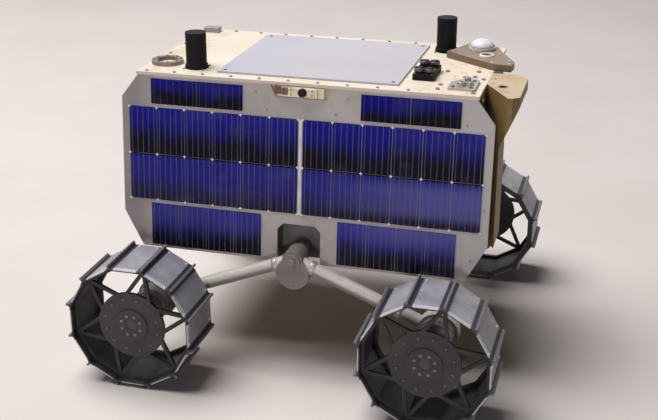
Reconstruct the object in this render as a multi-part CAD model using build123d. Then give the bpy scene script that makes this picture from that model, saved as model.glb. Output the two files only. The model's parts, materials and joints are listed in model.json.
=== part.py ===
from build123d import *
import math
import os

os.makedirs("parts", exist_ok=True)

# Frame: X is the direction of travel, Y runs across, Z is up
# The origin is on the ground under the middle of the rover
# Every length is in millimetres and every angle in degrees

# Wheels
wheel_base = 382.0
wheel_width = 80.0
wheel_outer_y = 264.0
tread_sides = 12
tread_corner_r = 84.0
tread_thickness = 2.5
fin_height = 5.0
fin_thickness = 3.0
inboard_lip = 6.0
inboard_lip_thickness = 3.0
web_recess = 10.0
web_thickness = 4.0
web_ring_width = 4.0
web_disc_r = 45.0
web_spoke_width = 5.0
web_spoke_overlap = 3.0
web_spoke_spread = 23.0
web_spoke_pairs = 6
hub_barrel_r = 17.0
hub_barrel_length = 18.0
hub_cap_r = 22.0
hub_cap_height = 2.0

# Wheel drives and axles
axle_r = 7.0
axle_running_gap = 0.05
axle_end_recess = 1.0
drive_r = 23.0
drive_to_hub_gap = 6.0
drive_flange_r = 27.0
drive_neck_r = 17.0
drive_neck_length = 8.0

# Rocker arms
rocker_to_wheel_gap = 12.0
rocker_plate_thickness = 18.0
arm_side_room = 0.5
pivot_z = 162.5
pivot_boss_r = 14.0
pivot_boss_reach = 10.0
pivot_shaft_r = 8.0
pivot_cap_r = 11.0
pivot_cap_height = 3.0
rocker_web_drop = 17.0
rocker_web_r = 22.0

# Body
body_half_length = 218.0
body_bottom_z = 148.5
deck_z = 385.5
deck_thickness = 4.0
deck_half_width = 124.0
side_tilt = 5.3
belly_end_inset = 28.0
belly_half_width = 96.0
belly_corner = 30.0
belly_depth = 12.0
pocket_half_width = 29.0
pocket_height = 51.0
pocket_corner = 8.0
pocket_depth = 24.0

# Solar side panels
panel_above_body_bottom = 2.0
near_panel_wing = 26.0
panel_thickness = 3.0
panel_top_inset = 23.0
panel_top_corner = 30.0
panel_bottom_inset = 26.0
panel_bottom_corner = 47.0
notch_half_width = 41.0
notch_depth = 15.0
notch_slope = 7.0
side_camera_gap = 4.0
side_camera_half_width = 19.0
side_camera_offset = 3.0
side_camera_depth = 5.0
bracket_depth = 1.5
bracket_edge_gap = 1.0
bracket_lip = 1.0
side_lens_r = 4.5
side_lens_length = 4.0
cell_thickness = 1.0
cell_gap = 0.8
middle_gap = 6.0
main_row_end_inset = 10.0
low_row_end_inset = 39.0
high_row_end_inset = 41.0
low_row_inset = 3.0
low_row_height = 57.5
low_row_from_pocket = 22.0
high_row_inset = 4.0
high_row_height = 33.0
near_high_row_inner = 77.0
far_high_row_inner = 51.0
row_space = 5.0
row_gap = 0.7
near_main_cells = 6
near_low_cells = 4
far_main_cells = 5
far_low_cells = 3
high_cells = 2

# Deck fittings
plate_end_room = 104.0
plate_side_room = 20.0
plate_thickness = 2.5
bolt_end_inset = 8.0
bolt_side_inset = 9.0
bolt_hole_r = 2.75
bolt_hole_depth = 16.0
antenna_r = 13.5
antenna_height = 47.0
rear_antenna_end_inset = 69.0
front_antenna_end_inset = 78.0
antenna_side_inset = 38.0
antenna_foot_r = 15.5
antenna_foot_height = 2.0
connector_half_length = 13.5
connector_half_width = 27.0
connector_end_inset = 79.5
connector_side_inset = 79.0
connector_base_height = 8.0
connector_cap_r = 6.0
connector_cap_height = 7.0
connector_cap_along = 6.5
connector_cap_across = 18.0
corner_plate_thickness = 3.0
corner_plate_outer_inset = 9.0
corner_plate_inner_inset = 43.0
corner_plate_side_inset = 20.0
corner_plate_front_reach = 62.0
corner_plate_peak_inset = 23.0
corner_plate_peak_reach = 74.0
corner_plate_back_reach = 48.0
ring_outer_r = 21.0
ring_inner_r = 14.0
ring_height = 5.0
ring_end_inset = 23.0
ring_side_inset = 50.0
block_end_inset = 6.0
block_side_inset = 8.0
block_length = 22.0
block_width = 15.0
block_height = 7.0
housing_height = 9.0
# Housing corners: distance behind the deck's front end, distance across from the middle
housing_corners = [(71, 50), (2, 0), (-22, -3), (-24, 15), (-7, 52), (8, 92), (47, 104)]
dome_r = 16.0
dome_flatness = 0.6
dome_foot_r = 18.0
dome_foot_height = 4.0
dome_end_inset = 27.0
dome_y = 76.0

# Front horn bracket
horn_reach = 47.0
horn_near_y = -121.0
horn_far_y = -12.0
horn_root_near_y = -64.0
horn_flare_length = 33.0
horn_leg_depth = 24.0
horn_leg_far_y = -50.0
horn_leg_bottom_above_body = 34.0
horn_height = 68.0
horn_tip_height = 14.0
horn_hole_r = 5.0
horn_hole_y = -72.0
horn_hole_inset = 26.0
horn_hole_length = 12.0
horn_relief_r = 9.0
horn_near_corner = 8.0
horn_far_corner = 16.0

# End plates
end_plate_thickness = 5.0
end_plate_half_width = 104.0
end_plate_above_body_bottom = 16.0
end_window_depth = 2.5
end_window_margin = 14.0
end_camera_half_width = 34.0
end_camera_height = 26.0
end_camera_depth = 6.0
end_camera_below_deck = 87.0
end_lens_inset = 12.0
front_camera_y = 44.0
rear_camera_y = 0.0
lens_r = 7.0
lens_length = 3.0
cut_margin = 1.0

# Sizes that follow from the ones above
tilt = math.radians(side_tilt)
half_side = math.pi / tread_sides
fin_tip_r = tread_corner_r + fin_height
hub_z = fin_tip_r * math.cos(half_side) + fin_thickness / 2 * math.sin(half_side)
wheel_inner_y = wheel_outer_y - wheel_width
rocker_outer_y = wheel_inner_y - rocker_to_wheel_gap
rocker_inner_y = rocker_outer_y - rocker_plate_thickness
arm_y = (rocker_outer_y + rocker_inner_y) / 2
arm_r = rocker_plate_thickness / 2 - arm_side_room
end_x = body_half_length + end_plate_thickness
deck_half_length = end_x
plate_half_length = deck_half_length - plate_end_room
plate_half_width = deck_half_width - plate_side_room
bolt_x = plate_half_length - bolt_end_inset
bolt_y = plate_half_width - bolt_side_inset
deck_underside_z = deck_z - deck_thickness
panel_bottom_z = body_bottom_z + panel_above_body_bottom
near_panel_half_length = body_half_length + near_panel_wing
far_panel_half_length = body_half_length
belly_half_length = body_half_length - belly_end_inset
panel_length_up = (deck_underside_z - panel_bottom_z) / math.cos(tilt)
side_bottom_y = deck_half_width + (deck_underside_z - panel_bottom_z) * math.tan(tilt)
web_outer_y = wheel_outer_y - web_recess
tread_inside_r = tread_corner_r - tread_thickness / math.cos(half_side)
hub_barrel_end_y = web_outer_y - web_thickness - hub_barrel_length
drive_end_y = hub_barrel_end_y - drive_to_hub_gap
axle_end_y = web_outer_y + hub_cap_height - axle_end_recess


def save(node, shape):
    export_step(shape, "parts/" + node + ".step")


def block(x0, x1, y0, y1, z0, z1):
    solid = Box(x1 - x0, y1 - y0, z1 - z0)
    return Pos((x0 + x1) / 2, (y0 + y1) / 2, (z0 + z1) / 2) * solid


def post(x, y, z0, z1, radius):
    return Pos(x, y, (z0 + z1) / 2) * Cylinder(radius, z1 - z0)


def rod_y(x, z, y0, y1, radius):
    return Pos(x, (y0 + y1) / 2, z) * Rot(90, 0, 0) * Cylinder(radius, abs(y1 - y0))


def rod_x(y, z, x0, x1, radius):
    return Pos((x0 + x1) / 2, y, z) * Rot(0, 90, 0) * Cylinder(radius, abs(x1 - x0))


def prism_z(points, z0, z1):
    outline = Plane.XY.offset(z0) * make_face(Polyline(*points, close=True))
    return extrude(outline, amount=z1 - z0, dir=(0, 0, 1))


def prism_y(points, y0, y1):
    face = make_face(Polyline(*[(x, y0, z) for x, z in points], close=True))
    return extrude(face, amount=y1 - y0, dir=(0, 1, 0))


def prism_x(points, x0, x1):
    face = make_face(Polyline(*[(x0, y, z) for y, z in points], close=True))
    return extrude(face, amount=x1 - x0, dir=(1, 0, 0))


def tube_between(start, end, radius):
    line = Vector(*end) - Vector(*start)
    section = Plane(origin=start, x_dir=(0, 1, 0), z_dir=line) * Circle(radius)
    return extrude(section, amount=line.length)


def far_side(shape):
    return mirror(shape, about=Plane.XZ)


# The near side face as a plane: local x along the rover, local y up the slope, local z outward
near_face = Plane(
    origin=(0, -side_bottom_y, panel_bottom_z),
    x_dir=(1, 0, 0),
    z_dir=(0, -math.cos(tilt), math.sin(tilt)),
)


def on_side(points, w0, w1):
    outline = make_face(Polyline(*points, close=True))
    return extrude(near_face.offset(w0) * outline, amount=w1 - w0, dir=near_face.z_dir)


def pocket_outline():
    half = pocket_half_width
    top = pocket_height
    return [
        (-half, 0),
        (half, 0),
        (half, top - pocket_corner),
        (half - pocket_corner, top),
        (-half + pocket_corner, top),
        (-half, top - pocket_corner),
    ]


def side_y(z):
    return deck_half_width + (deck_underside_z - z) * math.tan(tilt)


def bolt_holes(z0, z1):
    return [post(x, y, z0, z1, bolt_hole_r) for x in (-bolt_x, bolt_x) for y in (-bolt_y, bolt_y)]


# Body shell
def body_shell():
    back = panel_thickness / math.cos(tilt)
    top = side_y(deck_underside_z) - back
    low = side_y(body_bottom_z) - back
    shell = prism_x(
        [(-low, body_bottom_z), (low, body_bottom_z), (top, deck_underside_z), (-top, deck_underside_z)],
        -body_half_length,
        body_half_length,
    )
    pocket = on_side(pocket_outline(), -pocket_depth, cut_margin)
    below = block(-pocket_half_width, pocket_half_width, -side_bottom_y - pocket_depth,
                  -side_bottom_y + pocket_depth, body_bottom_z - cut_margin, panel_bottom_z + cut_margin)
    shell = shell - pocket - below
    shell = shell - far_side(pocket) - far_side(below)
    for hole in bolt_holes(deck_z - bolt_hole_depth, deck_z):
        shell = shell - hole
    return shell


save("body_shell", body_shell())

belly_outline = [
    (-belly_half_length + belly_corner, -belly_half_width),
    (belly_half_length - belly_corner, -belly_half_width),
    (belly_half_length, -belly_half_width + belly_corner),
    (belly_half_length, belly_half_width - belly_corner),
    (belly_half_length - belly_corner, belly_half_width),
    (-belly_half_length + belly_corner, belly_half_width),
    (-belly_half_length, belly_half_width - belly_corner),
    (-belly_half_length, -belly_half_width + belly_corner),
]
save("belly_pan", prism_z(belly_outline, body_bottom_z - belly_depth, body_bottom_z))


# Deck with the square plate on it
deck = block(-deck_half_length, deck_half_length, -deck_half_width, deck_half_width,
             deck_underside_z, deck_z)
for hole in bolt_holes(deck_underside_z - cut_margin, deck_z + cut_margin):
    deck = deck - hole
save("deck_plate", deck)

plate_top_z = deck_z + plate_thickness
plate = block(-plate_half_length, plate_half_length, -plate_half_width, plate_half_width,
              deck_z, plate_top_z)
for hole in bolt_holes(deck_z - cut_margin, plate_top_z + cut_margin):
    plate = plate - hole
save("radiator_plate", plate)


# Solar panels
def panel_board(half_length):
    top = panel_length_up
    points = [
        (-half_length + panel_bottom_inset, 0),
        (half_length - panel_bottom_inset, 0),
        (half_length, panel_bottom_corner),
        (half_length, top - panel_top_corner),
        (half_length - panel_top_inset, top),
        (-half_length + panel_top_inset, top),
        (-half_length, top - panel_top_corner),
        (-half_length, panel_bottom_corner),
    ]
    board = on_side(points, -panel_thickness, 0)
    board = board - on_side(pocket_outline(), -panel_thickness - cut_margin, cut_margin)
    low_edge = block(-pocket_half_width, pocket_half_width, -side_bottom_y - cut_margin,
                     -side_bottom_y + 2 * panel_thickness, panel_bottom_z - panel_thickness,
                     panel_bottom_z + cut_margin)
    notch = [
        (-notch_half_width + notch_slope, top - notch_depth),
        (notch_half_width - notch_slope, top - notch_depth),
        (notch_half_width, top + cut_margin),
        (-notch_half_width, top + cut_margin),
    ]
    return board - low_edge - on_side(notch, -panel_thickness - cut_margin, cut_margin)


# Columns of a row: inner end, outer end, cells a side, lower edge, height
def cell_rows(half_length, main_cells, low_cells, high_inner):
    high_low = panel_length_up - high_row_inset - high_row_height
    main_low = low_row_inset + low_row_height + row_space
    main_height = (high_low - row_space - main_low - row_gap) / 2
    low_inner = pocket_half_width + low_row_from_pocket
    main_outer = half_length - main_row_end_inset
    return [
        (low_inner, half_length - low_row_end_inset, low_cells, low_row_inset, low_row_height),
        (middle_gap / 2, main_outer, main_cells, main_low, main_height),
        (middle_gap / 2, main_outer, main_cells, main_low + main_height + row_gap, main_height),
        (high_inner, half_length - high_row_end_inset, high_cells, high_low, high_row_height),
    ]


near_rows = cell_rows(near_panel_half_length, near_main_cells, near_low_cells, near_high_row_inner)
far_rows = cell_rows(far_panel_half_length, far_main_cells, far_low_cells, far_high_row_inner)


def cells(rows):
    solids = []
    for inner, outer, count, low, height in rows:
        width = (outer - inner) / count
        for side in (-1, 1):
            for column in range(count):
                middle = side * (inner + width * (2 * column + 1) / 2)
                half = (width - cell_gap) / 2
                corners = [
                    (middle - half, low),
                    (middle + half, low),
                    (middle + half, low + height),
                    (middle - half, low + height),
                ]
                solids.append(on_side(corners, 0, cell_thickness))
    return Compound(children=solids)


save("near_panel_board", panel_board(near_panel_half_length))
save("near_panel_cells", cells(near_rows))
save("far_panel_board", far_side(panel_board(far_panel_half_length)))
save("far_panel_cells", far_side(cells(far_rows)))


# Side cameras in the notches at the top of the panels
def side_camera_body():
    low = panel_length_up - notch_depth + bracket_edge_gap
    high = panel_length_up - bracket_edge_gap
    half = notch_half_width - notch_slope - side_camera_gap
    plate = [(-half, low), (half, low), (half, high), (-half, high)]
    bracket = on_side(plate, -panel_thickness, bracket_depth)
    left = side_camera_offset - side_camera_half_width
    right = side_camera_offset + side_camera_half_width
    low = low + bracket_lip
    high = high - bracket_lip
    box = [(left, low), (right, low), (right, high), (left, high)]
    return bracket + on_side(box, bracket_depth, side_camera_depth)


def side_camera_lens():
    up = panel_length_up - notch_depth / 2
    spot = near_face.offset(side_camera_depth) * Pos(side_camera_offset, up, 0)
    return extrude(spot * Circle(side_lens_r), amount=side_lens_length, dir=near_face.z_dir)


save("near_camera_body", side_camera_body())
save("near_camera_lens", side_camera_lens())
save("far_camera_body", far_side(side_camera_body()))
save("far_camera_lens", far_side(side_camera_lens()))


# Stub antennas
def antenna(x, side):
    y = side * (deck_half_width - antenna_side_inset)
    foot = post(x, y, deck_z, deck_z + antenna_foot_height, antenna_foot_r)
    stub = post(x, y, deck_z + antenna_foot_height, deck_z + antenna_height, antenna_r)
    return foot + stub


save("rear_antenna", antenna(-deck_half_length + rear_antenna_end_inset, -1))
save("front_antenna", antenna(deck_half_length - front_antenna_end_inset, 1))


# Small fittings on the deck
def deck_connectors():
    x = deck_half_length - connector_end_inset
    y = -deck_half_width + connector_side_inset
    top = deck_z + connector_base_height
    base = block(x - connector_half_length, x + connector_half_length, y - connector_half_width,
                 y + connector_half_width, deck_z, top)
    for along in (-connector_cap_along, connector_cap_along):
        for across in (-connector_cap_across, connector_cap_across):
            base = base + post(x + along, y + across, top, top + connector_cap_height, connector_cap_r)
    return base


def deck_corner_plate():
    # Columns: distance behind the deck's front end, distance in from the near edge
    corners = [
        (corner_plate_inner_inset, corner_plate_side_inset),
        (corner_plate_outer_inset, corner_plate_side_inset),
        (corner_plate_outer_inset, corner_plate_front_reach),
        (corner_plate_peak_inset, corner_plate_peak_reach),
        (corner_plate_inner_inset, corner_plate_back_reach),
    ]
    points = [(deck_half_length - behind, -deck_half_width + inward) for behind, inward in corners]
    return prism_z(points, deck_z, deck_z + corner_plate_thickness)


def deck_ring():
    x = -deck_half_length + ring_end_inset
    y = -deck_half_width + ring_side_inset
    ring = post(x, y, deck_z, deck_z + ring_height, ring_outer_r)
    return ring - post(x, y, deck_z - cut_margin, deck_z + ring_height + cut_margin, ring_inner_r)


def deck_corner_block():
    x = -deck_half_length + block_end_inset
    y = deck_half_width - block_side_inset
    return block(x, x + block_length, y - block_width, y, deck_z, deck_z + block_height)


def sensor_housing():
    points = [(deck_half_length - behind, across) for behind, across in housing_corners]
    return prism_z(points, deck_z, deck_z + housing_height)


def sensor_dome():
    x = deck_half_length - dome_end_inset
    low = deck_z + housing_height
    foot_top = low + dome_foot_height
    cap = Pos(x, dome_y, foot_top) * scale(Sphere(dome_r), (1, 1, dome_flatness))
    cap = cap & post(x, dome_y, low, foot_top + dome_r, dome_foot_r)
    return post(x, dome_y, low, foot_top, dome_foot_r) + cap


save("deck_connectors", deck_connectors())
save("deck_corner_plate", deck_corner_plate())
save("deck_ring", deck_ring())
save("deck_corner_block", deck_corner_block())
save("sensor_housing", sensor_housing())
save("sensor_dome", sensor_dome())


# Horn bracket at the front corner: a leg down the end plate that flares into a flat head
def horn_bracket():
    tip_x = end_x + horn_reach
    leg_x = end_x + horn_leg_depth
    head_low = deck_z - horn_height
    leg_low = body_bottom_z + horn_leg_bottom_above_body
    profile = [
        (end_x, head_low),
        (leg_x, head_low),
        (tip_x, deck_z - horn_tip_height),
        (tip_x, deck_z),
        (end_x, deck_z),
    ]
    plan = [
        (end_x, horn_root_near_y),
        (end_x + horn_flare_length, horn_near_y),
        (tip_x - horn_near_corner, horn_near_y),
        (tip_x, horn_near_y + horn_near_corner),
        (tip_x, horn_far_y - horn_far_corner),
        (tip_x - horn_far_corner, horn_far_y),
        (end_x, horn_far_y),
    ]
    solid = prism_y(profile, horn_near_y, horn_far_y)
    solid = solid + block(end_x, leg_x, horn_near_y, horn_leg_far_y, leg_low, head_low)
    horn = solid & prism_z(plan, leg_low, deck_z)
    hole_x = tip_x - horn_hole_inset
    horn = horn - post(hole_x, horn_hole_y, deck_z - horn_hole_length, deck_z + cut_margin, horn_hole_r)
    relief = post(hole_x, horn_hole_y, head_low, deck_z - horn_hole_length, horn_relief_r)
    return horn - relief


save("horn_bracket", horn_bracket())


# End plates with shallow windows, cameras on them
def end_plate(window_hands):
    low_z = body_bottom_z + end_plate_above_body_bottom
    high_z = deck_underside_z
    window_top = deck_z - end_camera_below_deck - end_camera_height / 2 - end_window_margin / 2
    middle_z = (low_z + window_top) / 2
    windows = ((low_z + end_window_margin, middle_z), (middle_z + end_window_margin, window_top))
    plate = block(body_half_length, end_x, -end_plate_half_width, end_plate_half_width, low_z, high_z)
    inner = end_window_margin / 2
    outer = end_plate_half_width - end_window_margin
    for hand in window_hands:
        y0 = min(hand * inner, hand * outer)
        y1 = max(hand * inner, hand * outer)
        for z0, z1 in windows:
            plate = plate - block(end_x - end_window_depth, end_x + cut_margin, y0, y1, z0, z1)
    return plate


def end_camera(y):
    half = end_camera_half_width
    middle_z = deck_z - end_camera_below_deck
    z0 = middle_z - end_camera_height / 2
    z1 = middle_z + end_camera_height / 2
    face_x = end_x + end_camera_depth
    camera = block(end_x, face_x, y - half, y + half, z0, z1)
    for lens_y in (y - half + end_lens_inset, y + half - end_lens_inset):
        camera = camera + rod_x(lens_y, middle_z, face_x, face_x + lens_length, lens_r)
    return camera


save("front_end_plate", end_plate([1]))
save("rear_end_plate", mirror(end_plate([-1, 1]), about=Plane.YZ))
save("front_camera", end_camera(front_camera_y))
save("rear_camera", mirror(end_camera(rear_camera_y), about=Plane.YZ))


# Rocker hubs, arms and pivots, near side
rocker_y0 = -rocker_outer_y
rocker_y1 = -rocker_inner_y
rocker_low_z = pivot_z - rocker_web_drop


def rocker_hub():
    hub = rod_y(0, pivot_z, rocker_y0, rocker_y1 + pivot_boss_reach, pivot_boss_r)
    hub = hub + rod_y(0, rocker_low_z, rocker_y0, rocker_y1, rocker_web_r)
    cheek = [
        (-pivot_boss_r, pivot_z),
        (pivot_boss_r, pivot_z),
        (rocker_web_r, rocker_low_z),
        (-rocker_web_r, rocker_low_z),
    ]
    hub = hub + prism_y(cheek, rocker_y0, rocker_y1)
    return hub + rod_y(0, pivot_z, rocker_y0 - pivot_cap_height, rocker_y0, pivot_cap_r)


def rocker_arm(end):
    x = end * wheel_base / 2
    tube = tube_between((0, -arm_y, pivot_z), (x, -arm_y, hub_z), arm_r)
    return tube + rod_y(x, hub_z, rocker_y0, rocker_y1, drive_flange_r) - rocker_hub()


def pivot():
    shaft_end_y = -deck_half_width + pocket_depth
    shaft = rod_y(0, pivot_z, rocker_y1 + pivot_boss_reach, shaft_end_y, pivot_shaft_r)
    return shaft - on_side(pocket_outline(), -3 * pocket_depth, -pocket_depth)


for side_name in ("near", "far"):
    hand = (lambda shape: shape) if side_name == "near" else far_side
    save(side_name + "_rocker_hub", hand(rocker_hub()))
    save(side_name + "_front_arm", hand(rocker_arm(1)))
    save(side_name + "_rear_arm", hand(rocker_arm(-1)))
    save(side_name + "_pivot", hand(pivot()))


# Wheel drives with their axles, near side
def drive(x):
    neck_end = drive_end_y - drive_neck_length
    can = rod_y(x, hub_z, -rocker_outer_y, -neck_end, drive_r)
    neck = rod_y(x, hub_z, -neck_end, -drive_end_y, drive_neck_r)
    axle = rod_y(x, hub_z, -drive_end_y, -axle_end_y, axle_r)
    return can + neck + axle


# Wheel tread: flat plates with a fin at each joint, and a lip round the inboard edge
def ring_points(x, radius):
    points = []
    for corner in range(tread_sides):
        angle = half_side * (2 * corner + 1)
        points.append((x + radius * math.cos(angle), hub_z + radius * math.sin(angle)))
    return points


def tread(x):
    y0 = -wheel_outer_y
    y1 = -wheel_inner_y
    shape = prism_y(ring_points(x, tread_corner_r), y0, y1)
    hollow = ring_points(x, tread_inside_r)
    shape = shape - prism_y(hollow, y0 - cut_margin, y1 - inboard_lip_thickness)
    middle_y = (y0 + y1) / 2
    shape = shape - prism_y(ring_points(x, tread_inside_r - inboard_lip), middle_y, y1 + cut_margin)
    fin_root_r = tread_corner_r - tread_thickness / 2
    fin = Box(fin_tip_r - fin_root_r, y1 - y0, fin_thickness)
    fin = Pos((fin_tip_r + fin_root_r) / 2, 0, 0) * fin
    for corner in range(tread_sides):
        angle = math.degrees(half_side * (2 * corner + 1))
        shape = shape + Pos(x, middle_y, hub_z) * Rot(0, -angle, 0) * fin
    return shape


# Wheel web: ring inside the plates, spokes in pairs that meet at the ring, disc, hub barrel
def web(x):
    y0 = -web_outer_y
    y1 = y0 + web_thickness
    ring_r = tread_inside_r - web_ring_width
    rim = prism_y(ring_points(x, tread_inside_r), y0, y1)
    shape = rim - prism_y(ring_points(x, ring_r), y0 - cut_margin, y1 + cut_margin)
    shape = shape + rod_y(x, hub_z, y0, y1, web_disc_r)
    root_r = web_disc_r - web_spoke_overlap
    tip_r = ring_r + web_spoke_overlap
    spread = math.radians(web_spoke_spread)
    for pair in range(web_spoke_pairs):
        tip_angle = half_side + 2 * math.pi * pair / web_spoke_pairs
        end = (tip_r * math.cos(tip_angle), tip_r * math.sin(tip_angle))
        for root_angle in (tip_angle - spread, tip_angle + spread):
            start = (root_r * math.cos(root_angle), root_r * math.sin(root_angle))
            length = math.hypot(end[0] - start[0], end[1] - start[1])
            angle = math.degrees(math.atan2(end[1] - start[1], end[0] - start[0]))
            spoke = Pos((start[0] + end[0]) / 2 + x, (y0 + y1) / 2, (start[1] + end[1]) / 2 + hub_z)
            shape = shape + spoke * Rot(0, -angle, 0) * Box(length, web_thickness, web_spoke_width)
    shape = shape & rim
    shape = shape + rod_y(x, hub_z, y1, -hub_barrel_end_y, hub_barrel_r)
    shape = shape + rod_y(x, hub_z, y0 - hub_cap_height, y0, hub_cap_r)
    bore_y0 = y0 - hub_cap_height - cut_margin
    bore = rod_y(x, hub_z, bore_y0, -hub_barrel_end_y + cut_margin, axle_r + axle_running_gap)
    return shape - bore


for end_name, end in (("rear", -1), ("front", 1)):
    wheel_x = end * wheel_base / 2
    save("near_" + end_name + "_drive", drive(wheel_x))
    save("far_" + end_name + "_drive", far_side(drive(wheel_x)))
    save("near_" + end_name + "_tread", tread(wheel_x))
    save("far_" + end_name + "_tread", far_side(tread(wheel_x)))
    save("near_" + end_name + "_web", web(wheel_x))
    save("far_" + end_name + "_web", far_side(web(wheel_x)))
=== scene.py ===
import json
import math

import bmesh
import bpy
from mathutils import Matrix, Vector


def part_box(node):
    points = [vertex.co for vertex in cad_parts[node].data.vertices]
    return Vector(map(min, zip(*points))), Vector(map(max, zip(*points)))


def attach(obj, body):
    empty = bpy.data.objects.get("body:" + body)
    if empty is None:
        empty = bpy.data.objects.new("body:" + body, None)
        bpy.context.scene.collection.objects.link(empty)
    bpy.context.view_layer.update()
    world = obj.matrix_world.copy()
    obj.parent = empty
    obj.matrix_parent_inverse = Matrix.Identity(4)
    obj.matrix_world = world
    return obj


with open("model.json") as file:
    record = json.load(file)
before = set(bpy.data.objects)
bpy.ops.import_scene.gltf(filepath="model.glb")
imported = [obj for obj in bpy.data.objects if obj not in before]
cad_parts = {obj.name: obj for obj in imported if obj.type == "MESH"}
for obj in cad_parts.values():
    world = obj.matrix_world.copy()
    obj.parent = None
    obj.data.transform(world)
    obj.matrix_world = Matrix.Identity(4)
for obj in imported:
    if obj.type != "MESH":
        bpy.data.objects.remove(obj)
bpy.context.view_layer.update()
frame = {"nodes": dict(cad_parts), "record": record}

X, Y, Z = 0, 1, 2
SIDE_SIGN = {"near": -1, "far": 1}
END_SIGN = {"front": 1, "rear": -1}
OUTWARD = {"near": "-y", "far": "y"}
INWARD = {"near": "y", "far": "-y"}


class Box:
    """A CAD node's box at rest."""

    def __init__(self, node):
        low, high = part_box(node)
        self.low, self.high = Vector(low), Vector(high)
        self.mid = (self.low + self.high) / 2

    def face(self, axis, sign):
        """Where the box ends along an axis, in the direction of the sign."""
        return (self.high if sign > 0 else self.low)[axis]


# Values that the materials and the trim share; lengths are in metres
BOARD_LOW = Box("near_panel_board").low
SLOPE = math.radians(5.3)
WHEEL_X, WHEEL_Z = Box("near_front_tread").mid.xz
FINS = 12

# Cell rows from the lowest: lower edge and height, measured up the panel's slope
ROWS = ((0.003, 0.0575), (0.0655, 0.0619), (0.1281, 0.0619), (0.1950, 0.033))
LOW_ROW, MIDDLE_ROW, UPPER_ROW, HIGH_ROW = range(4)


def height_at(up_slope):
    return BOARD_LOW.z + up_slope * math.cos(SLOPE)


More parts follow.
